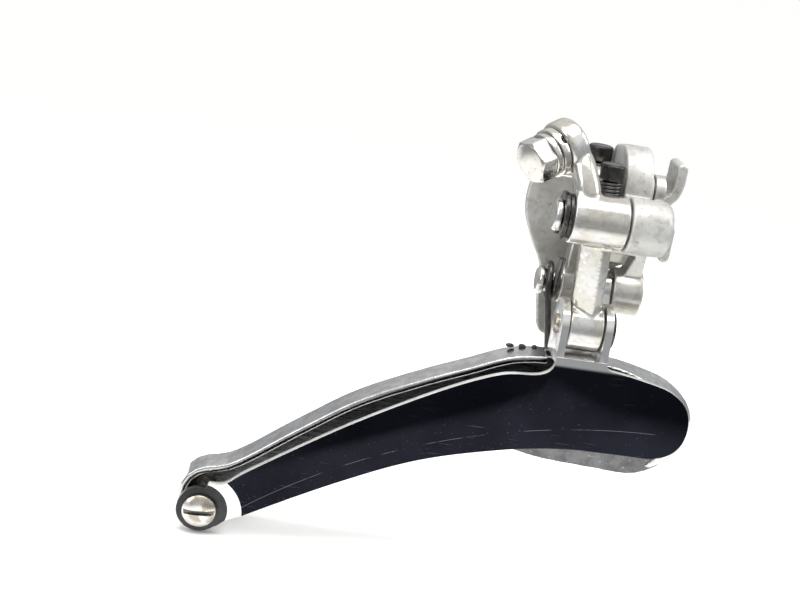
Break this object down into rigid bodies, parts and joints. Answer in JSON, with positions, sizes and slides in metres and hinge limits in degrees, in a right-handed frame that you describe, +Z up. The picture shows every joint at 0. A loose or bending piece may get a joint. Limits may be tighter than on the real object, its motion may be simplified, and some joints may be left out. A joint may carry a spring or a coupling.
{
  "type": "front derailleur",
  "caption": "Braze-on front derailleur for a road bike: a polished two-plate steel cage carried by two arms on a cast body, with cable clamp and limit screws.",
  "frame": {"origin": "on the left land of the saddle at the back of the body, where the frame's braze-on tab is clamped, at half the saddle's height", "axes": "+X forward along the cage towards its nose, +Y inboard towards the seat tube, +Z up"},
  "size_m": [0.1061, 0.0399, 0.0953],
  "materials": {
    "cast_alloy": "matt silver cast alloy, lightly tumbled",
    "polished_alloy": "polished silver alloy",
    "mirror_steel": "mirror-polished chromed steel with fine scratches",
    "bright_steel": "bright plated steel",
    "black_steel": "blackened steel",
    "nickel_steel": "warm nickel-plated steel"
  },
  "bodies": {
    "body": {"fixed_body": "cast_alloy", "upper_outer_pin": "bright_steel", "upper_outer_clip": "black_steel", "upper_outer_washer": "black_steel", "upper_inner_pin": "bright_steel", "mounting_bolt": "bright_steel", "saddle_washer": "bright_steel", "limit_spring_high": "black_steel", "limit_spring_low": "black_steel"},
    "high_limit_screw": {"limit_screw_high": "black_steel"},
    "low_limit_screw": {"limit_screw_low": "black_steel"},
    "outer_arm": {"outer_arm": "polished_alloy", "anchor_washer_grooved": "bright_steel", "anchor_washer_plain": "bright_steel", "anchor_bolt": "bright_steel"},
    "inner_arm": {"inner_arm": "cast_alloy", "lower_inner_pin": "bright_steel"},
    "cage": {"outer_plate": "mirror_steel", "inner_plate": "mirror_steel", "rear_bracket": "mirror_steel", "lower_outer_pin": "nickel_steel", "lower_outer_clip": "black_steel", "tail_screw": "nickel_steel", "tail_spacer": "nickel_steel", "return_spring": "black_steel"}
  },
  "joints": [
    {"name": "outer_arm_pivot", "type": "hinge", "parent": "body", "child": "outer_arm", "pos_m": [0.007, -0.0309, 0.00545], "axis": [-1, 0, 0], "range_deg": [0, 32], "stiffness_Nm_per_rad": 0.3, "springref_deg": -28.65},
    {"name": "inner_arm_pivot", "type": "hinge", "parent": "body", "child": "inner_arm", "pos_m": [0.007, -0.0149, 0.00985], "axis": [-1, 0, 0], "range_deg": [0, 32]},
    {"name": "cage_pivot", "type": "hinge", "parent": "inner_arm", "child": "cage", "pos_m": [0.007, -0.0104, -0.01335], "axis": [-1, 0, 0], "range_deg": [-32, 0], "deforming": ["return_spring"]},
    {"name": "high_limit_screw_turn", "type": "hinge", "parent": "body", "child": "high_limit_screw", "pos_m": [0.0068, -0.0229, 0.01565], "axis": [0, 0, 1], "range_deg": [-720, 1440]},
    {"name": "low_limit_screw_turn", "type": "hinge", "parent": "body", "child": "low_limit_screw", "pos_m": [0.0068, -0.0078, 0.01675], "axis": [0, 0, 1], "range_deg": [-720, 1440]}
  ],
  "couplings": [
    {"joint": "inner_arm_pivot", "follows": "outer_arm_pivot", "ratio": 1},
    {"joint": "cage_pivot", "follows": "outer_arm_pivot", "ratio": -1}
  ]
}
